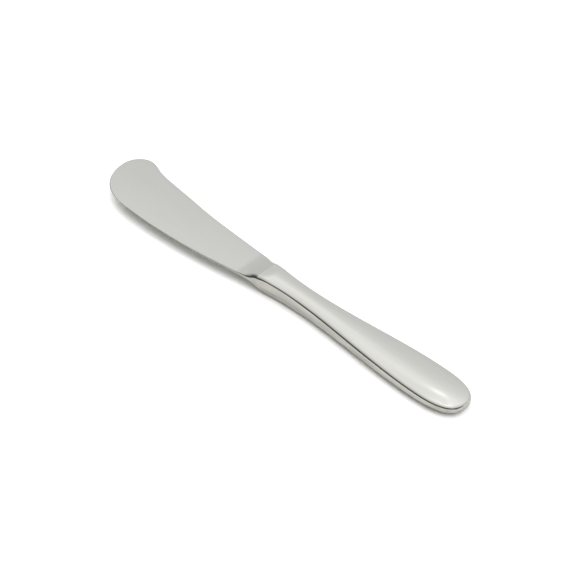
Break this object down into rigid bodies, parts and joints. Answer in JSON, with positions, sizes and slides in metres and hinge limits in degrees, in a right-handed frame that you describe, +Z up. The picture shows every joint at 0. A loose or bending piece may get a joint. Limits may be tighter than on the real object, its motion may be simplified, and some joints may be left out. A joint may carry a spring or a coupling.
{
  "type": "butter knife",
  "caption": "Butter knife for the table: a blunt steel blade with a flared, rounded tip, a stepped shoulder and a hollow handle that narrows behind the shoulder and widens to a round butt.",
  "frame": {"origin": "the middle of the bounding box's base, on the table that the knife lies on", "axes": "+X from the blade's tip to the butt, +Y from the cutting edge to the spine, +Z up from the table"},
  "size_m": [0.1717, 0.0244, 0.0075],
  "materials": {
    "blade_steel": "satin",
    "handle_steel": "soft polish",
    "filler": "cast, rough",
    "braze": "polished flush with the steel"
  },
  "bodies": {
    "root": {"blade": "blade_steel", "handle_shell_upper": "handle_steel", "handle_shell_lower": "handle_steel", "handle_filler": "filler", "seam_braze": "braze", "shoulder_braze": "braze"}
  },
  "joints": []
}
